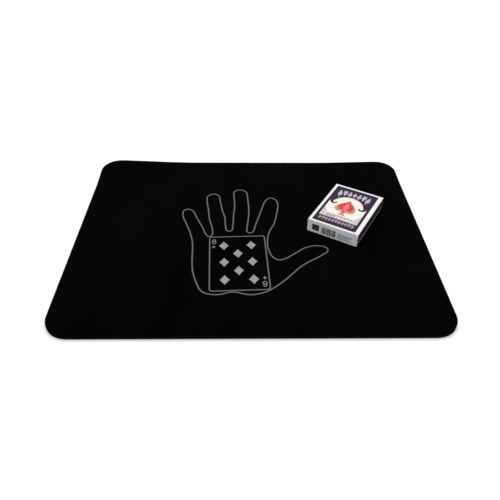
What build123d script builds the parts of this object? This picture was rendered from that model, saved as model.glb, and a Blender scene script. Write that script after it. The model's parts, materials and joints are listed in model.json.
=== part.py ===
"""A close-up magic mat with a boxed deck of playing cards lying on it.

The mat is a cloth face, a foam core and an anti-slip backing, with an open hand and a playing card
printed on the face. The deck is a folded tuck box, with a lid that hinges on its front panel, a
tongue that tucks inside the back panel, and the cards inside.

Millimetres, +Z up. The origin is under the middle of the mat, on the surface that the mat lies on.
"""
from build123d import *
from math import cos, radians, sin, tan
import os

# ---- driving dimensions ----
# mat
mat_width = 430.0
mat_depth = 337.0
mat_corner_radius = 27.0
cloth_thickness = 0.8
foam_thickness = 3.8
backing_thickness = 0.4

# printing on the mat
film_thickness = 0.1
hand_line_width = 1.5
hand_arc_share = 0.45
card_line_width = 1.4
printed_card_width = 67.6
printed_card_height = 94.5
printed_card_corner_radius = 3.0
printed_card_centre = (-15.0, -56.8)
printed_card_turn = 2.3
pip_width = 11.5
pip_height = 15.5
pip_hollow = 0.3
pip_column = 16.6
pip_row = 30.0
index_place = (28.4, 38.6)
index_ring_radii = (2.3, 2.7)
index_ring_line = 1.1
small_pip_place = (29.0, 28.4)
small_pip_width = 4.0
small_pip_height = 5.2

# tuck box
case_width = 66.0
case_length = 92.0
case_height = 18.0
case_centre = (123.0, 26.3)
case_turn = -30.8
board = 0.4
case_corner_radius = 0.7
fit_gap = 0.05
glue_flap_height = 15.6
dust_flap_length = 17.0
dust_flap_height = 15.3
dust_flap_corner = 4.0
thumb_notch_width = 22.0
thumb_notch_depth = 8.0
tongue_length = 10.5
tongue_width = 61.0
tongue_thickness = 0.35
tongue_level = 1.6
tongue_corner_radius = 7.0

# playing cards
card_width = 63.5
card_length = 88.9
card_thickness = 0.28
card_pitch = 0.285
card_corner_radius = 3.2
card_end_gap = 0.2
cards_level = 1.95
card_groups = [
    ("joker_cards", 2),
    ("spade_cards", 13),
    ("diamond_cards", 13),
    ("club_cards", 13),
    ("heart_cards", 13),
]

# ---- levels of the mat's layers ----
foam_level = backing_thickness
cloth_level = foam_level + foam_thickness
mat_height = cloth_level + cloth_thickness


def write(piece, name):
    """Label a finished piece and write it to its own file."""
    piece.part.label = name
    export_step(piece.part, f"parts/{name}.step")


os.makedirs("parts", exist_ok=True)

# ---- the mat: three layers cut to one outline ----
with BuildPart() as mat_backing:
    with BuildSketch():
        RectangleRounded(mat_width, mat_depth, mat_corner_radius)
    extrude(amount=backing_thickness)
write(mat_backing, "mat_backing")

with BuildPart() as mat_foam:
    with BuildSketch(Plane.XY.offset(foam_level)):
        RectangleRounded(mat_width, mat_depth, mat_corner_radius)
    extrude(amount=foam_thickness)
write(mat_foam, "mat_foam")

with BuildPart() as mat_cloth:
    with BuildSketch(Plane.XY.offset(cloth_level)):
        RectangleRounded(mat_width, mat_depth, mat_corner_radius)
    extrude(amount=cloth_thickness)
write(mat_cloth, "mat_cloth")

# ---- the open hand: one closed line round the fingers, the thumb and the heel ----
little_finger = [
    (-69.5, -54), (-70.5, -24), (-75, -3), (-81.5, 16), (-88, 33), (-88.3, 45), (-81.5, 49.5),
    (-74.5, 44.5), (-68.5, 27), (-60.5, 9), (-56.5, -4.5), (-51, -11.5),
]
ring_finger = [
    (-47, -5), (-48.5, 9), (-53, 26), (-54.7, 45), (-57.7, 64), (-58.6, 79), (-49.5, 85),
    (-41.8, 80.5), (-39.3, 62), (-36.8, 45), (-32.8, 31), (-32, 14),
]
middle_finger = [
    (-30.8, 2.5), (-26.5, 0.6), (-22.8, 3.5), (-22, 20), (-21.7, 38), (-20.3, 55), (-21.3, 74),
    (-22.3, 90), (-13, 95.5), (-4, 89), (-2.6, 70), (-1.4, 46), (-2.2, 30), (-4, 12),
]
fore_finger = [
    (-5.3, 0.5), (-0.8, -3.6), (3.8, 0.5), (6, 12), (10.6, 30), (15.3, 48), (20, 66.5),
    (28, 76.8), (36.8, 68.5), (37.6, 55), (34.5, 36), (30.5, 16), (23.5, 1), (20.8, -12), (20, -31),
]
thumb = [
    (24.5, -47.5), (32, -54.8), (42, -50.8), (54, -40.5), (66, -30.5), (80, -26.8), (91.5, -29.5),
    (93.3, -37.5), (82, -47.5), (68, -56.5), (57, -65.5), (45, -80),
]
heel = [
    (31, -95), (15, -107.8), (-3, -112), (-20, -105.2), (-38, -111.8), (-56, -107.5), (-63, -90),
    (-68, -72),
]
hand_points = [*little_finger, *ring_finger, *middle_finger, *fore_finger, *thumb, *heel]


def rounding(points):
    """The radius at each point of a closed line, from a share of the shorter run beside the point."""
    radii = []
    for before, corner, after in zip(points[-1:] + points[:-1], points, points[1:] + points[:1]):
        run_in = Vector(*corner) - Vector(*before)
        run_out = Vector(*after) - Vector(*corner)
        half_turn = radians(run_in.get_angle(run_out)) / 2
        radii.append(hand_arc_share * min(run_in.length, run_out.length) / tan(half_turn))
    return radii


def hand_shape(margin):
    """The hand's shape, grown by a margin all round."""
    with BuildSketch() as shape:
        with BuildLine():
            FilletPolyline(*hand_points, radius=rounding(hand_points), close=True)
        make_face()
        offset(amount=margin)
    return shape.sketch


outside_of_line = hand_shape(hand_line_width / 2)
inside_of_line = hand_shape(-hand_line_width / 2)

with BuildPart() as hand_outline_print:
    with BuildSketch(Plane.XY.offset(mat_height)):
        add(outside_of_line)
        add(inside_of_line, mode=Mode.SUBTRACT)
    extrude(amount=film_thickness)
write(hand_outline_print, "hand_outline_print")

# ---- the printed playing card in the palm ----
card_turn = radians(printed_card_turn)
card_frame = Plane(
    origin=(*printed_card_centre, mat_height),
    x_dir=(cos(card_turn), sin(card_turn), 0),
    z_dir=(0, 0, 1),
)


def diamond(width, height, hollow):
    """A diamond with each of its sides hollowed a little."""
    tips = [(width / 2, 0), (0, height / 2), (-width / 2, 0), (0, -height / 2)]
    keep = 0.5 - 2 * hollow / (width + height)
    with BuildSketch() as shape:
        with BuildLine():
            for start, end in zip(tips, tips[1:] + tips[:1]):
                middle = ((start[0] + end[0]) * keep, (start[1] + end[1]) * keep)
                ThreePointArc(start, middle, end)
        make_face()
    return shape.sketch


with BuildPart() as card_outline_print:
    with BuildSketch(card_frame):
        RectangleRounded(
            printed_card_width + card_line_width,
            printed_card_height + card_line_width,
            printed_card_corner_radius + card_line_width / 2,
        )
        RectangleRounded(
            printed_card_width - card_line_width,
            printed_card_height - card_line_width,
            printed_card_corner_radius - card_line_width / 2,
            mode=Mode.SUBTRACT,
        )
    extrude(amount=film_thickness)
    # the line stops where the hand's line crosses it
    add(hand_outline_print.part, mode=Mode.SUBTRACT)
write(card_outline_print, "card_outline_print")

pip = diamond(pip_width, pip_height, pip_hollow)
with BuildPart() as pip_prints:
    with BuildSketch(card_frame):
        with GridLocations(2 * pip_column, pip_row, 2, 3):
            add(pip)
        with GridLocations(0, pip_row, 1, 2):
            add(pip)
    extrude(amount=film_thickness)
write(pip_prints, "pip_prints")

# each index is a numeral of two rings, one on the other, with a small diamond under it
small_pip = diamond(small_pip_width, small_pip_height, pip_hollow / 3)
upper_ring, lower_ring = index_ring_radii
lower_ring_centre = index_ring_line / 2 - lower_ring
upper_ring_centre = upper_ring - index_ring_line / 2

with BuildSketch() as numeral:
    with Locations((0, lower_ring_centre)):
        Circle(lower_ring)
    with Locations((0, upper_ring_centre)):
        Circle(upper_ring)
    with Locations((0, lower_ring_centre)):
        Circle(lower_ring - index_ring_line, mode=Mode.SUBTRACT)
    with Locations((0, upper_ring_centre)):
        Circle(upper_ring - index_ring_line, mode=Mode.SUBTRACT)

with BuildPart() as index_prints:
    with BuildSketch(card_frame):
        for turn in (0, 180):
            with Locations(Location((0, 0, 0), (0, 0, turn))):
                with Locations((-index_place[0], index_place[1])):
                    add(numeral.sketch)
                with Locations((-small_pip_place[0], small_pip_place[1])):
                    add(small_pip)
    extrude(amount=film_thickness)
write(index_prints, "index_prints")

# ---- the tuck box ----
# The box lies on its back panel. In its own frame x runs across the front, y runs from the glued
# bottom to the lid, and z is up out of the front panel.
case_angle = radians(case_turn)
case_frame = Plane(
    origin=(*case_centre, mat_height),
    x_dir=(cos(case_angle), sin(case_angle), 0),
    z_dir=(0, 0, 1),
)
across = Axis(case_frame.origin, case_frame.x_dir)
along = Axis(case_frame.origin, case_frame.y_dir)

inner_width = case_width - 2 * board
inner_height = case_height - 2 * board
bottom_end = -case_length / 2
lid_end = case_length / 2
lid_inside = lid_end - board
sleeve_end = lid_inside - fit_gap
dust_flap_outside = lid_inside - 2 * fit_gap


def cross_section(distance):
    """The plane across the box at a distance along it, facing the glued bottom, level with its middle."""
    return Plane(
        origin=case_frame.from_local_coords((0, distance, case_height / 2)),
        x_dir=case_frame.x_dir,
        z_dir=-case_frame.y_dir,
    )


with BuildPart() as case_sleeve:
    with BuildSketch(cross_section(sleeve_end)):
        RectangleRounded(case_width, case_height, case_corner_radius)
        RectangleRounded(inner_width, inner_height, case_corner_radius - board, mode=Mode.SUBTRACT)
    extrude(amount=sleeve_end - (bottom_end + board))
    # thumb notch in the back panel, where the tongue is pulled out
    with BuildSketch(case_frame):
        with Locations((0, sleeve_end)):
            Ellipse(thumb_notch_width / 2, thumb_notch_depth)
    extrude(amount=2 * board, mode=Mode.SUBTRACT)
write(case_sleeve, "case_sleeve")

with BuildPart() as bottom_outer_flap:
    with BuildSketch(cross_section(bottom_end + board)):
        RectangleRounded(case_width, case_height, case_corner_radius)
    extrude(amount=board)
write(bottom_outer_flap, "bottom_outer_flap")

with BuildPart() as bottom_inner_flap:
    with BuildSketch(cross_section(bottom_end + 2 * board)):
        Rectangle(inner_width - 2 * fit_gap, inner_height - 2 * fit_gap)
    extrude(amount=board)
write(bottom_inner_flap, "bottom_inner_flap")

# the flap that holds the sleeve shut runs along the inside of the left side panel
glue_flap_start = bottom_end + 3 * board
glue_flap_finish = dust_flap_outside - 2 * board
with BuildPart() as case_glue_flap:
    with BuildSketch(cross_section(glue_flap_finish)):
        with Locations((-inner_width / 2 + board / 2, 0)):
            Rectangle(board, glue_flap_height)
    extrude(amount=glue_flap_finish - glue_flap_start)
write(case_glue_flap, "case_glue_flap")

# the two ears fold in from the side panels, just under the lid
for name, side in (("dust_flap_left", -1), ("dust_flap_right", 1)):
    flap_centre = (side * (inner_width - dust_flap_length) / 2, (inner_height - dust_flap_height) / 2)
    with BuildPart() as dust_flap:
        with BuildSketch(cross_section(dust_flap_outside)):
            with Locations(flap_centre):
                Rectangle(dust_flap_length, dust_flap_height)
        extrude(amount=board)
        free_edges = dust_flap.edges().filter_by(along).sort_by(across)
        chamfer(free_edges[:2] if side > 0 else free_edges[-2:], dust_flap_corner)
    write(dust_flap, name)

# The lid hinges on the far edge of the front panel, at the top of its own inner face.
lid_foot = board + fit_gap
with BuildPart() as lid_panel:
    with BuildSketch(cross_section(lid_end)):
        with Locations((0, lid_foot / 2)):
            Rectangle(case_width - 4 * fit_gap, case_height - lid_foot)
    extrude(amount=board)
    fillet(lid_panel.edges().filter_by(across).sort_by(along)[-2:], board / 2)
write(lid_panel, "lid_panel")

# The tongue turns about the middle of its rounded root, just inside the lid.
tongue_root = lid_inside - fit_gap - tongue_thickness / 2
with BuildPart() as tuck_tongue:
    with BuildSketch(case_frame.offset(tongue_level - tongue_thickness / 2)):
        with Locations((0, tongue_root - (tongue_length - tongue_thickness / 2) / 2)):
            Rectangle(tongue_width, tongue_length + tongue_thickness / 2)
    extrude(amount=tongue_thickness)
    fillet(tuck_tongue.edges().filter_by(Axis.Z).sort_by(along)[:2], tongue_corner_radius)
    fillet(tuck_tongue.edges().filter_by(across).sort_by(along)[-2:], 0.45 * tongue_thickness)
write(tuck_tongue, "tuck_tongue")

# ---- the cards: a stack in the order that a new deck comes in ----
cards_middle = bottom_end + 2 * board + card_end_gap + card_length / 2
card_level = cards_level
for name, count in card_groups:
    with BuildPart() as card_group:
        for _ in range(count):
            with BuildSketch(case_frame.offset(card_level)):
                with Locations((0, cards_middle)):
                    RectangleRounded(card_width, card_length, card_corner_radius)
            extrude(amount=card_thickness)
            card_level += card_pitch
    write(card_group, name)
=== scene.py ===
"""A close-up magic mat with a boxed deck of playing cards lying on it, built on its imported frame."""

import json
import math

import bmesh
import bpy
from bpy.props import FloatProperty, FloatVectorProperty, PointerProperty
from mathutils import Matrix, Vector


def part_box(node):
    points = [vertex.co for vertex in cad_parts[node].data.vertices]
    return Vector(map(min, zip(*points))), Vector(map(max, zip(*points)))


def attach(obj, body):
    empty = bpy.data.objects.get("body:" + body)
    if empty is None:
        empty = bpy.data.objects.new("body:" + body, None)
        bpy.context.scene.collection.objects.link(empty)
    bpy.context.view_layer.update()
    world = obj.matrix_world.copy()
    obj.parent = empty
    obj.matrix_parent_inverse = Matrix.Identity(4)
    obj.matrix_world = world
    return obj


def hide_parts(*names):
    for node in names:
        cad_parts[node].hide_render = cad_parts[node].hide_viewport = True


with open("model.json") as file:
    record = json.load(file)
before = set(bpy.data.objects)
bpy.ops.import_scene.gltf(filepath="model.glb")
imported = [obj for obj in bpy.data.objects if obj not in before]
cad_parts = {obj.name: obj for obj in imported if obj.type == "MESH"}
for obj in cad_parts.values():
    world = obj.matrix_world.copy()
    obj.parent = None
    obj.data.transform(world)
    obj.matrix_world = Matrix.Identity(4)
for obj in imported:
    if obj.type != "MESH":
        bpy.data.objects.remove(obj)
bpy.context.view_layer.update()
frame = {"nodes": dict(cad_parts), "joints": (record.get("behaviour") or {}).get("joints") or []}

bl_info = {
    "name": "Close-up mat and boxed deck",
    "version": (1, 0, 0),
    "blender": (4, 5, 0),
    "location": "View3D > Sidebar > Magic Mat",
    "description": "Makes a printed close-up mat with a tuck box of playing cards on it",
    "category": "Add Mesh",
}

MM = 0.001

# ---- places and sizes that the frame gives ----
MAT_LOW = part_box("mat_backing")[0]
MAT_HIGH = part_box("mat_cloth")[1]
MAT_WIDTH = MAT_HIGH.x - MAT_LOW.x
MAT_DEPTH = MAT_HIGH.y - MAT_LOW.y
BACKING_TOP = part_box("mat_backing")[1].z
FOAM_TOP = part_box("mat_foam")[1].z
MAT_TOP = MAT_HIGH.z

BOX_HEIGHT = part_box("case_sleeve")[1].z - MAT_TOP
LID_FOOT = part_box("lid_panel")[0].z - MAT_TOP
LID_HINGE = next(joint for joint in frame["joints"] if joint["name"] == "lid_hinge")
BOX_RIGHT = Vector(LID_HINGE["axis"])
BOX_UP = Vector((0, 0, 1))
BOX_ALONG = BOX_UP.cross(BOX_RIGHT)

# ---- the tuck box's length and board, which put its middle in its place from the lid's hinge ----
BOX_LENGTH = 92 * MM
BOX_BOARD = 0.4 * MM
BOX_MIDDLE = Vector(LID_HINGE["pos_m"]) - BOX_ALONG * (BOX_LENGTH / 2 - BOX_BOARD) - BOX_UP * BOX_HEIGHT
BOX_PLACE = Matrix.Translation(BOX_MIDDLE) @ Matrix((BOX_RIGHT, BOX_ALONG, BOX_UP)).transposed().to_4x4()


# ---- settings that a user would change ----
def length(name, description, default):
    """A length, in metres."""
    return FloatProperty(name=name, description=description, default=default, unit="LENGTH", precision=5)


def angle(name, description, default):
    """An angle, in radians."""
    return FloatProperty(name=name, description=description, default=default, subtype="ANGLE")


def power(name, description, default):
    """A light's power, in watts."""
    return FloatProperty(name=name, description=description, default=default, min=0, unit="POWER")


def share(name, description, default):
    """A share from nothing to all."""
    return FloatProperty(name=name, description=description, default=default, min=0, max=1, subtype="FACTOR")


def colour(name, description, default):
    """A linear colour."""
    return FloatVectorProperty(name=name, description=description, default=default, size=3, subtype="COLOR")


class MatSettings(bpy.types.PropertyGroup):
    """The mat's cloth, foam and backing."""

    corner_radius: length("Corner radius", "Radius of the mat's rounded corners", 27 * MM)
    cloth_edge: length("Cloth edge", "Rounding of the cloth's cut edge", 0.5 * MM)
    thread_pitch: length("Thread pitch", "Distance from one knitted rib to the next", 0.8 * MM)
    left_curl: length("Left curl", "How far the far left corner has curled up", 4.2 * MM)
    right_curl: length("Right curl", "How far the far right corner has curled up", 2.4 * MM)
    left_reach: length("Left reach", "How far from its corner the left curl begins", 140 * MM)
    right_reach: length("Right reach", "How far from its corner the right curl begins", 118 * MM)
    curl_depth: share("Curl depth", "How deep a curl is, as a share of its reach along the edge", 0.5)
    cloth_colour: colour("Cloth", "Colour of the knitted face", (0.0008, 0.0008, 0.0008))
    foam_colour: colour("Foam", "Colour of the foam core", (0.0032, 0.0014, 0.0019))
    backing_colour: colour("Backing", "Colour of the anti-slip backing", (0.030, 0.0055, 0.010))
    line_colour: colour("Line ink", "Colour of the hand's and the card's lines", (0.125, 0.125, 0.128))
    pip_colour: colour("Pip ink", "Colour of the eight large diamonds", (0.255, 0.278, 0.288))
    index_colour: colour("Index ink", "Colour of the numerals and their small diamonds", (0.15, 0.18, 0.19))


class BoxSettings(bpy.types.PropertyGroup):
    """The tuck box and what is printed on it."""

    width: length("Width", "Across the front panel", 66 * MM)
    length: length("Length", "From the glued end to the lid", BOX_LENGTH)
    board: length("Board", "Thickness of the folded board", BOX_BOARD)
    fold_radius: length("Fold radius", "Outside radius of the long folds", 0.7 * MM)
    front_crown: length("Front crown", "How far the front panel bulges", 0.3 * MM)
    side_crown: length("Side crown", "How far each side panel bulges", 0.12 * MM)
    notch_width: length("Notch width", "Width of the thumb notch in the back panel", 22 * MM)
    notch_depth: length("Notch depth", "Depth of the thumb notch in the back panel", 8 * MM)
    lid_gap: length("Lid gap", "Gap at each side of the lid and its parts", 0.05 * MM)
    ink: length("Ink film", "Height of one printed layer", 0.025 * MM)
    end_rounding: length("End rounding", "How far the glued end's folds curve into its face", 1.2 * MM)
    frame_shift: FloatVectorProperty(
        name="Frame shift",
        description="How far the front printing sits off the panel's middle",
        default=(-0.7 * MM, -0.2 * MM),
        size=2,
        unit="LENGTH",
    )
    board_colour: colour("Coated board", "Colour of the varnished outside", (0.70, 0.685, 0.70))
    raw_colour: colour("Raw board", "Colour of the uncoated inside and cut edges", (0.52, 0.50, 0.46))
    navy_colour: colour("Navy ink", "Colour of the frame, the sides and the back", (0.016, 0.007, 0.022))
    cream_colour: colour("Cream ink", "Colour of the front window", (0.73, 0.69, 0.62))
    red_colour: colour("Red ink", "Colour of the large spade", (0.44, 0.050, 0.042))
    pink_colour: colour("Pink ink", "Colour round the large spade", (0.54, 0.21, 0.19))
    light_red_colour: colour("Light red ink", "Colour in the middle of the large spade", (0.80, 0.14, 0.12))
    lavender_colour: colour("Lavender ink", "Colour of the small ornaments", (0.42, 0.35, 0.47))
    plum_colour: colour("Plum ink", "Colour of the pips under the front window", (0.29, 0.22, 0.30))
    ribbon_colour: colour("Ribbon ink", "Colour of the band under the large spade", (0.40, 0.32, 0.335))
    shade_colour: colour("Shade ink", "Colour of the shaded corners and the arch's ring", (0.46, 0.46, 0.44))
    # The stripes are print, but their dark taupe is darker than the pale border it stands for: painted shade
    # on the side.
    shaded_stripe_colour: colour("Taupe ink", "Colour of the stripes along each side", (0.15, 0.135, 0.125))
    grey_colour: colour("Grey ink", "Colour of the block and bars on the glued end", (0.035, 0.037, 0.045))
    rule_colour: colour("Rule ink", "Colour of the pale rules on the glued end", (0.21, 0.25, 0.30))


class CardSettings(bpy.types.PropertyGroup):
    """The playing cards in the box."""

    stock_colour: colour("Card stock", "Colour of the cards' faces and edges", (0.78, 0.77, 0.73))
    pitch: length("Pitch", "Distance from one card in the stack to the next", 0.285 * MM)


class StageSettings(bpy.types.PropertyGroup):
    """The floor, the lights and the camera."""

    floor_colour: colour("Floor", "Colour of the plain floor", (0.93, 0.93, 0.93))
    sky: FloatProperty(name="Sky", description="Strength of the even white light", default=0.88, min=0)
    top_light: power("Top light", "Power of the large soft light overhead", 9)
    side_light: power("Side light", "Power of the soft light at the right", 3)
    camera_height: length("Camera height", "Height of the camera over the mat's face", 399.3 * MM)
    camera_back: length("Camera distance", "How far the camera stands in front of the middle", 506.1 * MM)
    camera_left: length("Camera offset", "How far the camera stands left of the middle", 11.5 * MM)
    camera_tilt: angle("Camera tilt", "How far the camera looks down", math.radians(40.3))
    camera_turn: angle("Camera turn", "How far the camera turns right", 0.0219)
    camera_roll: angle("Camera roll", "How far the camera leans to its left", 0.0131)
    camera_lens: FloatProperty(
        name="Camera lens", description="Focal length on a sensor 36 mm wide", default=36.94, unit="CAMERA"
    )


# ---- materials ----
class Finish:
    """A Principled material that is being put together."""

    def __init__(self, name, roughness, specular, coat=0.0, coat_roughness=0.2):
        self.material = bpy.data.materials.new(name)
        self.material.use_nodes = True
        self.nodes = self.material.node_tree.nodes
        self.links = self.material.node_tree.links
        self.shader = self.nodes["Principled BSDF"]
        self.shader.inputs["Roughness"].default_value = roughness
        self.shader.inputs["Specular IOR Level"].default_value = specular
        self.shader.inputs["Coat Weight"].default_value = coat
        self.shader.inputs["Coat Roughness"].default_value = coat_roughness
        self.place = self.nodes.new("ShaderNodeTexCoord").outputs["Object"]

    def made(self, kind, vector=None, **values):
        """A node of a kind, with its inputs and settings given by name."""
        node = self.nodes.new(kind)
        for key, value in values.items():
            if key in node.inputs:
                node.inputs[key].default_value = value
            else:
                setattr(node, key, value)
        if vector is not None:
            self.links.new(vector, node.inputs["Vector"])
        return node

    def noise(self, scale, detail=3.0, roughness=0.55, stretch=(1, 1, 1)):
        """Even noise, with its grain stretched along an axis where it is asked to be."""
        spread = self.made("ShaderNodeMapping", self.place, Scale=stretch)
        made = self.made(
            "ShaderNodeTexNoise", spread.outputs["Vector"], Scale=scale, Detail=detail, Roughness=roughness
        )
        return made.outputs["Fac"]

    def ribs(self, pitch, direction, turn=0.0):
        """Parallel ribs a pitch apart."""
        turned = self.made("ShaderNodeMapping", self.place, Rotation=(0, 0, turn))
        made = self.made(
            "ShaderNodeTexWave",
            turned.outputs["Vector"],
            bands_direction=direction,
            Scale=math.pi / 10 / pitch,
            Distortion=0.6,
            Detail=1.0,
        )
        return made.outputs["Fac"]

    def maths(self, operation, first, second):
        """One sum on two values, each a socket or a number."""
        node = self.made("ShaderNodeMath", operation=operation)
        for socket, value in zip(node.inputs, (first, second)):
            if isinstance(value, (int, float)):
                socket.default_value = value
            else:
                self.links.new(value, socket)
        return node.outputs["Value"]

    def ramp(self, value, low, high):
        """A value spread so that low becomes 0 and high becomes 1."""
        node = self.made("ShaderNodeMapRange", **{"From Min": low, "From Max": high})
        self.links.new(value, node.inputs["Value"])
        return node.outputs["Result"]

    def mixed(self, share_of_second, first, second):
        """A colour between two, each a socket or a colour."""
        node = self.made("ShaderNodeMix", data_type="RGBA")
        self.links.new(share_of_second, node.inputs["Factor"])
        for socket, value in ((node.inputs[6], first), (node.inputs[7], second)):
            if isinstance(value, bpy.types.NodeSocket):
                self.links.new(value, socket)
            else:
                socket.default_value = (*value, 1)
        return node.outputs[2]

    def coloured(self, socket):
        """Colour the surface."""
        self.links.new(socket, self.shader.inputs["Base Color"])

    def roughened(self, value, low, high):
        """Let the roughness run between two values."""
        node = self.made("ShaderNodeMapRange", **{"To Min": low, "To Max": high})
        self.links.new(value, node.inputs["Value"])
        self.links.new(node.outputs["Result"], self.shader.inputs["Roughness"])

    def raised(self, height, distance, strength):
        """Raise the surface by a height map, on top of what is raised already."""
        bump = self.made("ShaderNodeBump", Strength=strength, Distance=distance)
        self.links.new(height, bump.inputs["Height"])
        normal = self.shader.inputs["Normal"]
        if normal.links:
            self.links.new(normal.links[0].from_socket, bump.inputs["Normal"])
        self.links.new(bump.outputs["Normal"], normal)


def scaled(base, amount):
    """A colour made lighter or darker."""
    return tuple(min(1.0, part * amount) for part in base)


def knitted(finish, pitch):
    """The height of a fine rib knit: crossing ribs with a little unevenness."""
    lengthwise = finish.ribs(pitch, "X", math.radians(2))
    crosswise = finish.ribs(pitch * 1.3, "Y", math.radians(2))
    woven = finish.maths("MULTIPLY", lengthwise, crosswise)
    fuzz = finish.noise(2600, 2)
    return finish.maths("ADD", woven, finish.maths("MULTIPLY", fuzz, 0.35))


def cloth_finish(settings):
    """Dry black rib-knit cloth with lint and faint brushing marks, with a painted highlight on its ribs and
    painted shade between them.
    """
    finish = Finish("black_knit", 0.95, 0.01)
    knit = knitted(finish, settings.thread_pitch)
    # Painted highlight on the raised ribs and painted shade in the hollows, following the knit's height.
    knit_highlight_and_shade = finish.mixed(knit, scaled(settings.cloth_colour, 0.55), scaled(settings.cloth_colour, 1.5))
    brushed = finish.ramp(finish.noise(16, 5, 0.6, stretch=(1, 0.35, 1)), 0.35, 0.75)
    worn = finish.mixed(brushed, knit_highlight_and_shade, scaled(settings.cloth_colour, 2.1))
    lint = finish.ramp(finish.noise(900, 1, 0.4), 0.80, 0.84)
    finish.coloured(finish.mixed(lint, worn, scaled(settings.cloth_colour, 7)))
    finish.raised(knit, 0.25 * MM, 0.7)
    return finish.material


def foam_finish(settings):
    """Dark sponge foam with small open cells on its cut edge, with painted shade in the cells' hollows and a
    painted highlight on their walls.
    """
    finish = Finish("sponge_foam", 0.95, 0.01)
    cells = finish.made("ShaderNodeTexVoronoi", finish.place, Scale=1500.0).outputs["Distance"]
    open_cells = finish.ramp(cells, 0.1, 0.6)
    # Painted shade in the sunken cells and painted highlight on their walls, following the bump height.
    tone = finish.mixed(open_cells, scaled(settings.foam_colour, 0.4), scaled(settings.foam_colour, 1.6))
    dusty = finish.ramp(finish.noise(120, 4), 0.45, 0.8)
    finish.coloured(finish.mixed(dusty, tone, scaled(settings.foam_colour, 2.4)))
    finish.raised(open_cells, 0.3 * MM, 0.8)
    return finish.material


def backing_finish(settings):
    """Dark maroon rubbery backing with a fine grid of grips, with a painted highlight on the grips and
    painted shade between them.
    """
    finish = Finish("grip_backing", 0.6, 0.25)
    grips = finish.maths("MULTIPLY", finish.ribs(1.6 * MM, "X"), finish.ribs(1.6 * MM, "Y"))
    # Painted highlight on the raised grips and painted shade in the gaps, following the bump height.
    tone = finish.mixed(grips, scaled(settings.backing_colour, 0.7), scaled(settings.backing_colour, 1.3))
    rubbed = finish.ramp(finish.noise(60, 5), 0.5, 0.85)
    finish.coloured(finish.mixed(rubbed, tone, scaled(settings.backing_colour, 2.2)))
    finish.roughened(finish.noise(200), 0.5, 0.75)
    finish.raised(grips, 0.2 * MM, 0.8)
    return finish.material


def cloth_ink_finish(name, ink, pitch):
    """Screen ink on knit: the ribs show through as bumps with a painted highlight on them and painted shade
    between them, and the ink has broken in places.
    """
    finish = Finish(name, 0.75, 0.15)
    knit = knitted(finish, pitch)
    # Painted highlight on the raised ribs and painted shade in the hollows, following the knit's height.
    ink_highlight_and_shade = finish.mixed(knit, scaled(ink, 0.80), scaled(ink, 1.12))
    cracked = finish.ramp(finish.noise(700, 4, 0.7), 0.60, 0.72)
    finish.coloured(finish.mixed(cracked, ink_highlight_and_shade, scaled(ink, 0.42)))
    finish.roughened(finish.noise(300), 0.62, 0.85)
    finish.raised(knit, 0.12 * MM, 0.5)
    return finish.material


def board_finish(name, base):
    """Printed and varnished board, made once for each name: linen grain, soft gloss and faint scuffs."""
    if name in bpy.data.materials:
        return bpy.data.materials[name]
    finish = Finish(name, 0.42, 0.1, coat=0.05, coat_roughness=0.28)
    linen = finish.maths("MULTIPLY", finish.ribs(0.5 * MM, "X", 0.6), finish.ribs(0.5 * MM, "Y", 0.6))
    grain = finish.mixed(finish.noise(420, 4), scaled(base, 0.94), scaled(base, 1.05))
    scuffed = finish.ramp(finish.noise(170, 6, 0.7, stretch=(1, 0.25, 1)), 0.66, 0.78)
    softened = tuple(part * 0.9 + 0.018 for part in base)
    finish.coloured(finish.mixed(scuffed, grain, softened))
    finish.roughened(finish.noise(140, 5), 0.36, 0.55)
    finish.raised(linen, 0.05 * MM, 0.5)
    return finish.material


def raw_board_finish(settings):
    """Uncoated grey-white board with short fibres."""
    finish = Finish("raw_board", 0.85, 0.2)
    fibres = finish.noise(1100, 3, 0.6, stretch=(1, 0.2, 1))
    tone = finish.mixed(fibres, scaled(settings.raw_colour, 0.82), scaled(settings.raw_colour, 1.15))
    flecks = finish.ramp(finish.noise(650, 1), 0.72, 0.76)
    finish.coloured(finish.mixed(flecks, tone, scaled(settings.raw_colour, 0.5)))
    finish.raised(fibres, 0.06 * MM, 0.6)
    return finish.material


def card_finish(settings):
    """Smooth card stock whose cut edges show each card as a fine line."""
    finish = Finish("card_stock", 0.5, 0.35)
    layers = finish.ribs(settings.pitch, "Z")
    tone = finish.mixed(layers, scaled(settings.stock_colour, 0.72), scaled(settings.stock_colour, 1.08))
    handled = finish.ramp(finish.noise(90, 5), 0.45, 0.8)
    finish.coloured(finish.mixed(handled, tone, scaled(settings.stock_colour, 0.86)))
    finish.roughened(finish.noise(240), 0.42, 0.6)
    return finish.material


def floor_finish(settings):
    """Plain pale paper."""
    finish = Finish("pale_floor", 0.9, 0.1)
    paper = finish.noise(30, 3)
    finish.coloured(finish.mixed(paper, scaled(settings.floor_colour, 0.99), settings.floor_colour))
    return finish.material


# ---- making pieces ----
def piece(name, body, shape, materials, replaces=()):
    """Turn a finished shape into a named piece that rides on a body."""
    mesh = bpy.data.meshes.new(name)
    bmesh.ops.recalc_face_normals(shape, faces=shape.faces)
    shape.to_mesh(mesh)
    shape.free()
    for material in materials:
        mesh.materials.append(material)
    mesh.shade_smooth()
    mesh.set_sharp_from_angle(angle=math.radians(35))
    made = bpy.data.objects.new(name, mesh)
    bpy.context.scene.collection.objects.link(made)
    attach(made, body)
    if replaces:
        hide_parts(*replaces)
    return made


def dressed(node, material):
    """Give a part of the frame its finish."""
    mesh = frame["nodes"][node].data
    mesh.materials.clear()
    mesh.materials.append(material)


def strip(shape, first, second, material=0):
    """Join two closed rings of points with faces."""
    faces = []
    for index in range(len(first)):
        corners = (first[index - 1], first[index], second[index], second[index - 1])
        face = shape.faces.new(corners)
        face.material_index = material
        faces.append(face)
    return faces


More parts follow.
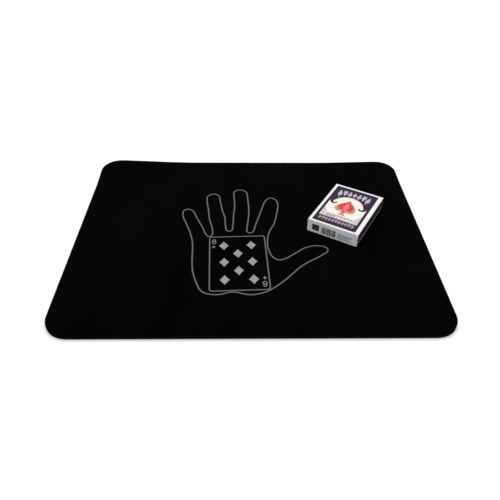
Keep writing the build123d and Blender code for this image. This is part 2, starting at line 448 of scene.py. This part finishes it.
# ---- the mat ----
MAT_ROWS = 56
MAT_COLUMNS = 64
CORNER_COLUMNS = 10


def curl(settings, x, y):
    """How far the mat has lifted at a point: only its two far corners have curled."""
    raised = 0.0
    for side, height, reach in (
        (-1, settings.left_curl, settings.left_reach),
        (1, settings.right_curl, settings.right_reach),
    ):
        aside = (x - side * MAT_WIDTH / 2) / reach
        inward = (y - MAT_DEPTH / 2) / (reach * settings.curl_depth)
        near = max(0.0, 1 - math.hypot(aside, inward))
        raised += height * near * near * (3 - 2 * near)
    return raised


def mat_columns(radius, inset):
    """Each column's place across the mat, with how far it reaches, for an outline cut in by an inset."""
    half_width = MAT_WIDTH / 2 - inset
    half_depth = MAT_DEPTH / 2 - inset
    corner = radius - inset
    straight = half_width - corner
    angles = (math.pi / 2 * step / CORNER_COLUMNS for step in range(CORNER_COLUMNS + 1))
    left = [(-straight - corner * math.cos(a), half_depth - corner + corner * math.sin(a)) for a in angles]
    middle = [(straight * (2 * step / MAT_COLUMNS - 1), half_depth) for step in range(1, MAT_COLUMNS)]
    right = [(-x, reach) for x, reach in reversed(left)]
    return left + middle + right


def mat_outline(columns):
    """Points once round the outline: near edge, right side, far edge and left side."""
    left_x, side_reach = columns[0]
    side = [side_reach * (2 * row / MAT_ROWS - 1) for row in range(1, MAT_ROWS)]
    near = [(x, -reach) for x, reach in columns]
    far = [(x, reach) for x, reach in reversed(columns)]
    return near + [(-left_x, y) for y in side] + far + [(left_x, y) for y in reversed(side)]


def mat_face(shape, settings, inset, level):
    """Fill the outline with a grid of faces at one level, and give back the points round it."""
    grid = []
    for x, reach in mat_columns(settings.corner_radius, inset):
        places = [reach * (2 * row / MAT_ROWS - 1) for row in range(MAT_ROWS + 1)]
        grid.append([shape.verts.new((x, y, level + curl(settings, x, y))) for y in places])
    for left, right in zip(grid, grid[1:]):
        for near_left, near_right, far_right, far_left in zip(left, right, right[1:], left[1:]):
            shape.faces.new((near_left, near_right, far_right, far_left))
    near = [column[0] for column in grid]
    far = [column[-1] for column in reversed(grid)]
    return near + grid[-1][1:-1] + far + grid[0][-2:0:-1]


def mat_layer(settings, low, high, top_edge, bottom_edge):
    """A closed layer between two levels, with its top and bottom edges rounded."""
    shape = bmesh.new()
    steps = 3
    turns = [math.pi / 2 * step / steps for step in range(steps + 1)]
    profile = [(top_edge * (1 - math.sin(a)), high - top_edge * (1 - math.cos(a))) for a in turns[1:]]
    profile += [(bottom_edge * (1 - math.cos(a)), low + bottom_edge * (1 - math.sin(a))) for a in turns[:-1]]
    top_ring = mat_face(shape, settings, top_edge, high)
    bottom_ring = mat_face(shape, settings, bottom_edge, low)
    rings = [top_ring]
    for inset, level in profile:
        around = mat_outline(mat_columns(settings.corner_radius, inset))
        rings.append([shape.verts.new((x, y, level + curl(settings, x, y))) for x, y in around])
    rings.append(bottom_ring)
    for first, second in zip(rings, rings[1:]):
        strip(shape, first, second)
    return shape


class MAGICMAT_OT_mat(bpy.types.Operator):
    """Make the mat's cloth face, foam core and anti-slip backing"""

    bl_idname = "magicmat.mat"
    bl_label = "Mat layers"

    def execute(self, context):
        settings = context.scene.magic_mat
        backing_edges = (0.05 * MM, 0.15 * MM)
        foam_edges = (0.1 * MM, 0.1 * MM)
        cloth_edges = (settings.cloth_edge, 0.1 * MM)
        layers = (
            ("mat_backing_sheet", "mat_backing", (MAT_LOW.z, BACKING_TOP), backing_edges, backing_finish),
            ("mat_foam_core", "mat_foam", (BACKING_TOP, FOAM_TOP), foam_edges, foam_finish),
            ("mat_cloth_face", "mat_cloth", (FOAM_TOP, MAT_TOP), cloth_edges, cloth_finish),
        )
        backing, foam, cloth = (
            piece(name, "mat", mat_layer(settings, *levels, *edges), [finish(settings)], [node])
            for name, node, levels, edges, finish in layers
        )
        return {"FINISHED"}


class MAGICMAT_OT_mat_prints(bpy.types.Operator):
    """Ink the open hand, the playing card, its pips and its numerals"""

    bl_idname = "magicmat.mat_prints"
    bl_label = "Mat printing"

    def execute(self, context):
        settings = context.scene.magic_mat
        pitch = settings.thread_pitch
        line_ink = cloth_ink_finish("line_ink", settings.line_colour, pitch)
        dressed("hand_outline_print", line_ink)
        dressed("card_outline_print", line_ink)
        dressed("pip_prints", cloth_ink_finish("pip_ink", settings.pip_colour, pitch))
        dressed("index_prints", cloth_ink_finish("index_ink", settings.index_colour, pitch))
        return {"FINISHED"}


# ---- the tuck box ----
def crown(height, x, y, half_x, half_y):
    """How far a panel bulges at a point, nothing along its four edges."""
    across = max(0.0, 1 - (x / half_x) ** 2)
    lengthwise = max(0.0, 1 - (y / half_y) ** 4)
    return height * across * lengthwise


def box_section(settings, inset):
    """Points round the box's section, each with how far it bulges there, from a rounded rectangle."""
    half_width = settings.width / 2 - inset
    half_height = BOX_HEIGHT / 2 - inset
    radius = settings.fold_radius - inset
    straight_x, straight_z = half_width - radius, half_height - radius
    panel_steps, side_steps, fold_steps = 36, 6, 4
    points = []

    def panel(start, end, steps, bulge_at):
        for step in range(steps):
            x, z = (a + (b - a) * step / steps for a, b in zip(start, end))
            points.append((x, z, *bulge_at(x, z)))

    def fold(centre_x, centre_z, start_angle):
        for step in range(fold_steps):
            turn = math.radians(start_angle - 90 * step / fold_steps)
            points.append((centre_x + radius * math.cos(turn), centre_z + radius * math.sin(turn), 0, 0))

    def front_bulge(x, z):
        return 0, settings.front_crown * max(0.0, 1 - (x / straight_x) ** 2)

    def side_bulge(x, z):
        return math.copysign(settings.side_crown * max(0.0, 1 - (z / straight_z) ** 2), x), 0

    def flat(x, z):
        return 0, 0

    panel((-straight_x, half_height), (straight_x, half_height), panel_steps, front_bulge)
    fold(straight_x, straight_z, 90)
    panel((half_width, straight_z), (half_width, -straight_z), side_steps, side_bulge)
    fold(straight_x, -straight_z, 0)
    panel((straight_x, -half_height), (-straight_x, -half_height), panel_steps, flat)
    fold(-straight_x, -straight_z, -90)
    panel((-half_width, -straight_z), (-half_width, straight_z), side_steps, side_bulge)
    fold(-straight_x, straight_z, -180)
    return points


def sleeve_shape(settings):
    """The folded sleeve, open at the lid, with the thumb notch in its back panel."""
    shape = bmesh.new()
    start = -settings.length / 2 + settings.board
    mouth = settings.length / 2 - settings.board - settings.lid_gap
    notch = settings.notch_width / 2
    stations = 22
    skins = []
    for inset in (0, settings.board):
        rings = []
        for station in range(stations + 1):
            ring = []
            for x, z, bulge_x, bulge_z in box_section(settings, inset):
                end = mouth
                if z < settings.fold_radius - BOX_HEIGHT / 2 and abs(x) < notch:
                    end -= settings.notch_depth * math.sqrt(1 - (x / notch) ** 2)
                y = start + (end - start) * station / stations
                ease = 1 - (2 * y / settings.length) ** 4
                place = (x + bulge_x * ease, y, z + BOX_HEIGHT / 2 + bulge_z * ease)
                ring.append(shape.verts.new(place))
            rings.append(ring)
        skins.append(rings)
    outside, inside = skins
    for first, second in zip(outside, outside[1:]):
        strip(shape, first, second, 0)
    for first, second in zip(inside, inside[1:]):
        strip(shape, first, second, 1)
    strip(shape, outside[0], inside[0], 1)
    strip(shape, outside[-1], inside[-1], 1)
    return shape


def end_flap_shape(settings):
    """The glued end: a plate of board with softly rounded outer edges."""
    shape = bmesh.new()
    end = -settings.length / 2
    steps = 5
    profile = [
        (settings.end_rounding * (1 - math.cos(a)), settings.board * (1 - math.sin(a)))
        for a in (math.pi / 2 * step / steps for step in range(steps + 1))
    ]
    rings = []
    for inset, depth in profile:
        shrink_x = 1 - 2 * inset / settings.width
        shrink_z = 1 - 2 * inset / BOX_HEIGHT
        section = [(x * shrink_x, z * shrink_z) for x, z, _, _ in box_section(settings, 0)]
        rings.append([shape.verts.new((x, end + depth, z + BOX_HEIGHT / 2)) for x, z in section])
    for first, second in zip(rings, rings[1:]):
        strip(shape, first, second)
    shape.faces.new(rings[-1])
    shape.faces.new(list(reversed(rings[0]))).material_index = 1
    return shape


def lid_shape(settings):
    """The lid: a strip of board with rounded folds along its top and its bottom."""
    shape = bmesh.new()
    inside = settings.length / 2 - settings.board
    half_width = settings.width / 2 - 2 * settings.lid_gap
    fold = settings.fold_radius
    steps = 5
    turns = [math.pi / 2 * step / steps for step in range(steps + 1)]
    profile = [
        (inside + settings.board * math.sin(a), BOX_HEIGHT - fold * (1 - math.cos(a))) for a in turns
    ]
    profile += [(inside + settings.board * math.cos(a), LID_FOOT + fold * (1 - math.sin(a))) for a in turns]
    stations = 12
    rings = []
    for station in range(stations + 1):
        x = half_width * (2 * station / stations - 1)
        rings.append([shape.verts.new((x, y, z)) for y, z in profile])
    for first, second in zip(rings, rings[1:]):
        inner_face = strip(shape, first, second)[0]
        inner_face.material_index = 1
    shape.faces.new(rings[0]).material_index = 1
    shape.faces.new(list(reversed(rings[-1]))).material_index = 1
    return shape


class MAGICMAT_OT_tuck_box(bpy.types.Operator):
    """Make the folded sleeve and the glued end of the tuck box, and finish its flaps and lid"""

    bl_idname = "magicmat.tuck_box"
    bl_label = "Tuck box"

    def execute(self, context):
        settings = context.scene.tuck_box
        coated = board_finish("coated_board", settings.board_colour)
        raw = raw_board_finish(settings)
        for name, body, shape, node in (
            ("tuck_box_sleeve", "card_case", sleeve_shape(settings), "case_sleeve"),
            ("tuck_box_end", "card_case", end_flap_shape(settings), "bottom_outer_flap"),
            ("tuck_box_lid", "lid", lid_shape(settings), "lid_panel"),
        ):
            shape.transform(BOX_PLACE)
            piece(name, body, shape, [coated, raw], [node])
        for node in ("dust_flap_left", "dust_flap_right", "tuck_tongue"):
            dressed(node, coated)
        for node in ("case_glue_flap", "bottom_inner_flap"):
            dressed(node, raw)
        return {"FINISHED"}


# ---- shapes for the box's printing, in a panel's own plane ----
def rounded_box(left, bottom, right, top, radius, steps=5):
    """A rectangle with rounded corners."""
    points = []
    for centre_x, centre_y, start in (
        (right - radius, top - radius, 0),
        (left + radius, top - radius, 90),
        (left + radius, bottom + radius, 180),
        (right - radius, bottom + radius, 270),
    ):
        points += arc(centre_x, centre_y, radius, start, start + 90, steps)
    return points


def arc(centre_x, centre_y, radius, start, end, steps):
    """Points along an arc, its angles in degrees."""
    angles = (math.radians(start + (end - start) * step / steps) for step in range(steps + 1))
    return [(centre_x + radius * math.cos(a), centre_y + radius * math.sin(a)) for a in angles]


def bezier(start, first, second, end, steps=8):
    """Points along a curve, without its last."""
    points = []
    for step in range(steps):
        t = step / steps
        weights = ((1 - t) ** 3, 3 * (1 - t) ** 2 * t, 3 * (1 - t) * t * t, t**3)
        points.append(
            tuple(sum(w * p[axis] for w, p in zip(weights, (start, first, second, end))) for axis in (0, 1))
        )
    return points


def mirrored(points):
    """A right half from the top down, closed by its own mirror image."""
    off_middle = [(x, y) for x, y in points if abs(x) > 1e-9]
    return points + [(-x, y) for x, y in reversed(off_middle)]


def spade():
    """A spade one unit high and wide."""
    half = bezier((0, 0.5), (0.06, 0.33), (0.48, 0.18), (0.5, -0.08))
    half += bezier((0.5, -0.08), (0.5, -0.33), (0.14, -0.36), (0.045, -0.19))
    half += bezier((0.045, -0.19), (0.05, -0.36), (0.1, -0.45), (0.22, -0.5))
    return mirrored(half + [(0.22, -0.5)])


def heart():
    """A heart one unit high and wide."""
    half = bezier((0, 0.24), (0.05, 0.55), (0.5, 0.6), (0.5, 0.2))
    half += bezier((0.5, 0.2), (0.5, -0.08), (0.12, -0.24), (0, -0.5))
    return mirrored(half + [(0, -0.5)])


def club():
    """A club one unit high and wide."""
    half = arc(0, 0.24, 0.25, 90, -28, 8)
    half += arc(0.26, -0.1, 0.24, 110, -150, 12)
    half += bezier((0.045, -0.19), (0.05, -0.36), (0.1, -0.45), (0.22, -0.5))
    return mirrored(half + [(0.22, -0.5)])


def lozenge():
    """A diamond one unit high and wide."""
    return [(0, 0.5), (0.5, 0), (0, -0.5), (-0.5, 0)]


def placed(points, centre_x, centre_y, wide, high, turn=0.0):
    """A unit shape made to a size, turned and put in its place."""
    cosine, sine = math.cos(turn), math.sin(turn)
    return [
        (centre_x + wide * x * cosine - high * y * sine, centre_y + wide * x * sine + high * y * cosine)
        for x, y in points
    ]


def ribbon(path, widths):
    """A band along a path, as wide at each point as it is told."""
    left, right = [], []
    for index, (point, wide) in enumerate(zip(path, widths)):
        before = Vector(path[max(index - 1, 0)])
        after = Vector(path[min(index + 1, len(path) - 1)])
        side = (after - before).normalized().orthogonal() * wide / 2
        left.append(tuple(Vector(point) + side))
        right.append(tuple(Vector(point) - side))
    return left + right[::-1]


# ---- printing on the box ----
def panel_place(settings, name):
    """The matrix from a panel's own plane, seen from outside the box, to the box."""
    half_width, half_length, middle = settings.width / 2, settings.length / 2, BOX_HEIGHT / 2
    right, along, up = Vector((1, 0, 0)), Vector((0, 1, 0)), Vector((0, 0, 1))
    x_axis, y_axis, origin = {
        "front": (right, along, (0, 0, BOX_HEIGHT)),
        "back": (-right, along, (0, 0, 0)),
        "right": (along, up, (half_width, 0, middle)),
        "left": (-along, up, (-half_width, 0, middle)),
        "glued_end": (right, up, (0, -half_length, middle)),
        "lid": (-right, up, (0, half_length, middle)),
    }[name]
    turned = Matrix((x_axis, y_axis, x_axis.cross(y_axis))).transposed().to_4x4()
    return BOX_PLACE @ Matrix.Translation(origin) @ turned


def panel_bulge(settings, name, x, y):
    """How far the panel under a point of the printing bulges."""
    straight_x = settings.width / 2 - settings.fold_radius
    straight_z = BOX_HEIGHT / 2 - settings.fold_radius
    half_length = settings.length / 2
    if name == "front":
        return crown(settings.front_crown, x, y, straight_x, half_length)
    if name in ("left", "right"):
        return crown(settings.side_crown, y, x, straight_z, half_length)
    return 0.0


def filled(outlines):
    """Flat faces within outlines, which are in millimetres."""
    shape = bmesh.new()
    for loops in outlines:
        edges = []
        for loop in loops:
            corners = [shape.verts.new((x * MM, y * MM, 0)) for x, y in loop]
            edges += [shape.edges.new(pair) for pair in zip(corners[-1:] + corners[:-1], corners)]
        bmesh.ops.triangle_fill(shape, use_beauty=True, use_dissolve=False, edges=edges)
    return shape


def divided(shape, half, cell):
    """Cut flat faces along a square grid, so that they can follow a bulging panel."""
    for axis in (Vector((1, 0, 0)), Vector((0, 1, 0))):
        place = -half + cell / 2
        while place < half:
            everything = shape.verts[:] + shape.edges[:] + shape.faces[:]
            bmesh.ops.bisect_plane(shape, geom=everything, plane_co=axis * place, plane_no=axis)
            place += cell


def thickened(shape, depth):
    """Close a sheet of faces that looks up into a film: a copy below, with a rim between the two."""
    tops = set(shape.verts)
    under = bmesh.ops.duplicate(shape, geom=shape.faces[:])
    for item in under["geom"]:
        if isinstance(item, bmesh.types.BMVert):
            item.co.z -= depth
        elif isinstance(item, bmesh.types.BMFace):
            item.normal_flip()
    pairs = under["vert_map"]
    for edge in [edge for edge in shape.edges if edge.is_boundary and edge.verts[0] in tops]:
        first, second = edge.verts
        shape.faces.new((first, second, pairs[second], pairs[first]))


def printed(name, body, panel, material, layer, outlines, settings):
    """Print outlines on one panel as a film of ink that follows the board, on top of the layers below."""
    shape = filled(outlines)
    if panel in ("front", "left", "right"):
        divided(shape, settings.length / 2, 6 * MM)
    bmesh.ops.recalc_face_normals(shape, faces=shape.faces)
    for face in shape.faces:
        if face.normal.z < 0:
            face.normal_flip()
    for corner in shape.verts:
        corner.co.z = settings.ink * layer + panel_bulge(settings, panel, corner.co.x, corner.co.y)
    thickened(shape, settings.ink * 0.9)
    shape.transform(panel_place(settings, panel))
    piece(name, body, shape, [material])


def moved(outlines, aside, along):
    """Outlines moved across their panel."""
    return [[[(x + aside, y + along) for x, y in loop] for loop in loops] for loops in outlines]


# ---- the front design, in millimetres from the middle of the frame ----
FRAME_HALF_WIDTH, FRAME_HALF_LENGTH = 28.5, 42.8
WINDOW_HALF_WIDTH, WINDOW_LOW, WINDOW_SHOULDER = 24.9, -28.8, 8.0
ARCH_MIDDLE, ARCH_RADIUS = 2.9, 20.4


def front_frame():
    """The dark field of the front panel."""
    return rounded_box(-FRAME_HALF_WIDTH, -FRAME_HALF_LENGTH, FRAME_HALF_WIDTH, FRAME_HALF_LENGTH, 1.2)


def front_window():
    """The window in the front frame: a plain rectangle under a round arch."""
    lean = math.degrees(math.asin((WINDOW_SHOULDER - ARCH_MIDDLE) / ARCH_RADIUS))
    foot = [(-WINDOW_HALF_WIDTH, WINDOW_LOW), (WINDOW_HALF_WIDTH, WINDOW_LOW)]
    right, left = (WINDOW_HALF_WIDTH, WINDOW_SHOULDER), (-WINDOW_HALF_WIDTH, WINDOW_SHOULDER)
    return foot + [right] + arc(0, ARCH_MIDDLE, ARCH_RADIUS, lean, 180 - lean, 36) + [left]


def scroll(side):
    """The curled end of the arch on one side."""
    path = bezier((23.3, 14), (23.4, 8), (22.2, 2.6), (18.4, 2.4), 9)
    path += bezier((18.4, 2.4), (15.8, 2.3), (14.6, 4.6), (15.4, 7.6), 7)
    last = len(path) - 1
    widths = [4.8 - 3.8 * (index / last) ** 1.5 for index in range(last + 1)]
    return [(side * x, y) for x, y in ribbon(path, widths)]


def arch_pips():
    """Card pips standing along the arch, with their tops level and their feet on the arch."""
    shapes = (spade, heart, club, lozenge, club, heart, spade)
    top, reach, wide = 36.6, 19.2, 5.4
    pips = []
    for index, shape in enumerate(shapes):
        aside = 2 * index / (len(shapes) - 1) - 1
        high = 11.5 + 6.5 * aside * aside
        pips.append([placed(shape(), reach * aside, top - high / 2, wide, high, -0.14 * aside)])
    return pips


def arch_ring():
    """A fine line following the inside of the arch."""
    outside = arc(0, ARCH_MIDDLE, ARCH_RADIUS - 1.2, 12, 168, 36)
    inside = arc(0, ARCH_MIDDLE, ARCH_RADIUS - 2.0, 168, 12, 36)
    return [[outside + inside]]


def shaded_corner(side):
    """A soft leaf of shade in one lower corner of the window."""
    leaf = bezier((24.6, -7), (23.5, -13), (20.4, -16), (18.2, -21.4), 10) + [(18.2, -28.5), (24.6, -28.5)]
    return [[[(side * x, y) for x, y in leaf]]]


def row(shapes, count, spread, y, wide, high, middle=0.0):
    """A row of small shapes, taken in turn."""
    places = (middle + spread * (index / (count - 1) - 0.5) for index in range(count))
    return [[placed(shapes[index % len(shapes)](), x, y, wide, high)] for index, x in enumerate(places)]


class MAGICMAT_OT_front_print(bpy.types.Operator):
    """Print the front panel: its frame, arch, window and large spade"""

    bl_idname = "magicmat.front_print"
    bl_label = "Front printing"

    def execute(self, context):
        settings = context.scene.tuck_box
        navy = board_finish("navy_ink", settings.navy_colour)
        lavender = board_finish("lavender_ink", settings.lavender_colour)
        plum = board_finish("plum_ink", settings.plum_colour)
        white = board_finish("white_ink", settings.board_colour)
        cream = board_finish("cream_ink", settings.cream_colour)
        shade = board_finish("shade_ink", settings.shade_colour)
        ribbon_ink = board_finish("ribbon_ink", settings.ribbon_colour)
        pink = board_finish("pink_ink", settings.pink_colour)
        red = board_finish("red_ink", settings.red_colour)
        light_red = board_finish("light_red_ink", settings.light_red_colour)
        pips = (spade, heart, club, lozenge)
        prints = (
            ("front_frame_print", navy, 1, [[front_frame()]]),
            ("front_window_print", cream, 2, [[front_window()]]),
            ("front_ornament_prints", lavender, 2, arch_pips()),
            ("front_row_prints", plum, 2, row(pips, 11, 43, -33.9, 4.2, 7.4)),
            ("front_scroll_prints", navy, 3, [[scroll(-1)], [scroll(1)]]),
            ("front_shade_prints", shade, 3, arch_ring() + shaded_corner(-1) + shaded_corner(1)),
            ("front_ribbon_print", ribbon_ink, 3, [[rounded_box(-17.6, -28.3, 17.6, -21.2, 0.6)]]),
            ("front_spade_glow_print", pink, 4, [[placed(spade(), 0, -1.0, 27, 36)]]),
            ("front_spade_print", red, 5, [[placed(spade(), 0, 1.0, 20.0, 27)]]),
            ("front_spade_core_print", light_red, 6, [[placed(lozenge(), 0, 0, 8.0, 21)]]),
            ("front_mark_prints", white, 7, row(pips, 7, 19, -25.8, 2.8, 4.4, 6)),
        )
        aside, along = (part / MM for part in settings.frame_shift)
        for name, material, layer, outlines in prints:
            outlines = moved(outlines, aside, along)
            printed(name, "card_case", "front", material, layer, outlines, settings)
        return {"FINISHED"}


class MAGICMAT_OT_side_prints(bpy.types.Operator):
    """Print the two long sides: a navy field with a double stripe low down"""

    bl_idname = "magicmat.side_prints"
    bl_label = "Side printing"

    def execute(self, context):
        settings = context.scene.tuck_box
        navy = board_finish("navy_ink", settings.navy_colour)
        taupe = board_finish("shaded_stripe_ink", settings.shaded_stripe_colour)
        for side in ("left", "right"):
            field = [[rounded_box(-45.0, -8.1, 45.2, 8.1, 0.4)]]
            # Two printed stripes, coloured darker than the pale border print so that the side's shade is
            # painted into them.
            lower, upper = ((-7.4, -5.4), (-5.0, -3.4))
            stripes = [[rounded_box(-44.4, low, 44.4, high, 0.3)] for low, high in (lower, upper)]
            printed(f"{side}_side_print", "card_case", side, navy, 1, field, settings)
            printed(f"{side}_side_stripe_prints", "card_case", side, taupe, 2, stripes, settings)
        return {"FINISHED"}


def uneven_bars():
    """Bars whose widths and gaps come from a simple repeating rule."""
    bars, x = [], -13.8
    for index in range(13):
        wide = 0.6 + 0.3 * ((index * 5) % 4)
        bars.append([rounded_box(x, -6.6, x + wide, 3.4, 0.05, 1)])
        x += wide + 0.3 + 0.1 * ((index * 3) % 5)
    return bars


class MAGICMAT_OT_end_prints(bpy.types.Operator):
    """Print the glued end, with plain bars and rules, and the lid"""

    bl_idname = "magicmat.end_prints"
    bl_label = "End printing"

    def execute(self, context):
        settings = context.scene.tuck_box
        navy = board_finish("navy_ink", settings.navy_colour)
        lavender = board_finish("lavender_ink", settings.lavender_colour)
        grey = board_finish("grey_ink", settings.grey_colour)
        rule = board_finish("rule_ink", settings.rule_colour)
        block = [[rounded_box(-26.4, -5.0, -17.0, 3.9, 0.5)]]
        rules = [
            [rounded_box(7.2, 0.2 - 2.1 * line, 27.0 - 2.4 * (line % 3), 1.4 - 2.1 * line, 0.15, 2)]
            for line in range(4)
        ]
        printed("end_bar_prints", "card_case", "glued_end", grey, 1, block + uneven_bars(), settings)
        printed("end_rule_prints", "card_case", "glued_end", rule, 1, rules, settings)
        field = [[rounded_box(-31.4, -7.0, 31.4, 7.6, 0.6)]]
        pips = [[placed(spade(), 0, 0.3, 8.0, 10.0)]]
        pips += [[placed(lozenge(), x, 0.3, 5.0, 7.0)] for x in (-20, -11, 11, 20)]
        printed("lid_field_print", "lid", "lid", navy, 1, field, settings)
        printed("lid_pip_prints", "lid", "lid", lavender, 2, pips, settings)
        return {"FINISHED"}


def lattice():
    """Small diamonds in staggered columns, clear of the thumb notch."""
    columns, rows, step_x, step_y, drop = 9, 15, 6.2, 5.0, 2.9
    pips = []
    for across in range(columns):
        count = rows - across % 2
        x = step_x * (across - (columns - 1) / 2)
        for up in range(count):
            pips.append([placed(lozenge(), x, step_y * (up - (count - 1) / 2) - drop, 3.0, 3.9)])
    return pips


class MAGICMAT_OT_back_print(bpy.types.Operator):
    """Print the back panel with a plain lattice of diamonds"""

    bl_idname = "magicmat.back_print"
    bl_label = "Back printing"

    def execute(self, context):
        settings = context.scene.tuck_box
        navy = board_finish("navy_ink", settings.navy_colour)
        lavender = board_finish("lavender_ink", settings.lavender_colour)
        field = [[rounded_box(-28.4, -41.8, 28.4, 36.0, 1.2)]]
        printed("back_field_print", "card_case", "back", navy, 1, field, settings)
        printed("back_lattice_print", "card_case", "back", lavender, 2, lattice(), settings)
        return {"FINISHED"}


class MAGICMAT_OT_cards(bpy.types.Operator):
    """Finish the playing cards in the box"""

    bl_idname = "magicmat.cards"
    bl_label = "Playing cards"

    def execute(self, context):
        stock = card_finish(context.scene.playing_cards)
        for node in ("joker_cards", "spade_cards", "diamond_cards", "club_cards", "heart_cards"):
            dressed(node, stock)
        return {"FINISHED"}


# ---- the stage ----
FLOOR_GAP = 0.02 * MM
FLOOR_RADIUS = 25.0


def area_light(name, place, aim, size, watts):
    """A soft square light aimed at a point."""
    data = bpy.data.lights.new(name, "AREA")
    data.shape = "SQUARE"
    data.size = size
    data.energy = watts
    light = bpy.data.objects.new(name, data)
    light.location = place
    light.rotation_mode = "QUATERNION"
    light.rotation_quaternion = (Vector(aim) - Vector(place)).to_track_quat("-Z", "Y")
    bpy.context.scene.collection.objects.link(light)


class MAGICMAT_OT_stage(bpy.types.Operator):
    """Lay the pale floor, hang the lights and set the camera"""

    bl_idname = "magicmat.stage"
    bl_label = "Stage"

    def execute(self, context):
        settings = context.scene.mat_stage
        scene = context.scene
        shape = bmesh.new()
        bmesh.ops.create_circle(shape, cap_ends=True, segments=96, radius=FLOOR_RADIUS)
        mesh = bpy.data.meshes.new("floor")
        shape.to_mesh(mesh)
        shape.free()
        mesh.materials.append(floor_finish(settings))
        floor = bpy.data.objects.new("floor", mesh)
        floor.location.z = MAT_LOW.z - FLOOR_GAP
        scene.collection.objects.link(floor)

        world = bpy.data.worlds.new("even_sky")
        world.use_nodes = True
        sky = world.node_tree.nodes["Background"]
        sky.inputs["Color"].default_value = (1, 1, 1, 1)
        sky.inputs["Strength"].default_value = settings.sky
        scene.world = world
        area_light("top_light", (-0.15, 0.35, 1.3), (0, 0, 0), 1.2, settings.top_light)
        area_light("side_light", (1.1, 0.9, 0.7), (0.1, 0, 0), 0.6, settings.side_light)

        data = bpy.data.cameras.new("camera")
        data.sensor_width = 36
        data.lens = settings.camera_lens
        data.clip_start = 0.01
        data.clip_end = 50
        camera = bpy.data.objects.new("camera", data)
        forward = Vector(
            (
                math.sin(settings.camera_turn) * math.cos(settings.camera_tilt),
                math.cos(settings.camera_turn) * math.cos(settings.camera_tilt),
                -math.sin(settings.camera_tilt),
            )
        )
        level = forward.cross(BOX_UP).normalized()
        upright = level.cross(forward)
        lean = settings.camera_roll
        right = level * math.cos(lean) + upright * math.sin(lean)
        up = upright * math.cos(lean) - level * math.sin(lean)
        turned = Matrix((right, up, -forward)).transposed().to_4x4()
        place = Vector((-settings.camera_left, -settings.camera_back, MAT_TOP + settings.camera_height))
        camera.matrix_world = Matrix.Translation(place) @ turned
        scene.collection.objects.link(camera)
        scene.camera = camera
        scene.view_settings.view_transform = "Standard"
        return {"FINISHED"}


class MAGICMAT_PT_panel(bpy.types.Panel):
    """Lists what the add-on makes, with its settings"""

    bl_label = "Magic Mat"
    bl_idname = "MAGICMAT_PT_panel"
    bl_space_type = "VIEW_3D"
    bl_region_type = "UI"
    bl_category = "Magic Mat"

    def draw(self, context):
        for made in OPERATORS:
            self.layout.operator(made.bl_idname)
        for name in SETTINGS:
            group = getattr(context.scene, name)
            box = self.layout.box()
            for key in group.bl_rna.properties.keys():
                if key not in ("rna_type", "name"):
                    box.prop(group, key)


OPERATORS = (
    MAGICMAT_OT_stage,
    MAGICMAT_OT_mat,
    MAGICMAT_OT_mat_prints,
    MAGICMAT_OT_tuck_box,
    MAGICMAT_OT_front_print,
    MAGICMAT_OT_side_prints,
    MAGICMAT_OT_end_prints,
    MAGICMAT_OT_back_print,
    MAGICMAT_OT_cards,
)
SETTINGS = {
    "magic_mat": MatSettings,
    "tuck_box": BoxSettings,
    "playing_cards": CardSettings,
    "mat_stage": StageSettings,
}


def register():
    """Add the settings, the operators and the panel."""
    for group in SETTINGS.values():
        bpy.utils.register_class(group)
    for made in OPERATORS:
        bpy.utils.register_class(made)
    bpy.utils.register_class(MAGICMAT_PT_panel)
    for name, group in SETTINGS.items():
        setattr(bpy.types.Scene, name, PointerProperty(type=group))


def unregister():
    """Take away what register adds."""
    for name in SETTINGS:
        delattr(bpy.types.Scene, name)
    bpy.utils.unregister_class(MAGICMAT_PT_panel)
    for made in reversed(OPERATORS):
        bpy.utils.unregister_class(made)
    for group in SETTINGS.values():
        bpy.utils.unregister_class(group)


def main():
    """Make everything in order."""
    register()
    bpy.ops.magicmat.stage()
    bpy.ops.magicmat.mat()
    bpy.ops.magicmat.mat_prints()
    bpy.ops.magicmat.tuck_box()
    bpy.ops.magicmat.front_print()
    bpy.ops.magicmat.side_prints()
    bpy.ops.magicmat.end_prints()
    bpy.ops.magicmat.back_print()
    bpy.ops.magicmat.cards()


if __name__ == "__main__":
    main()
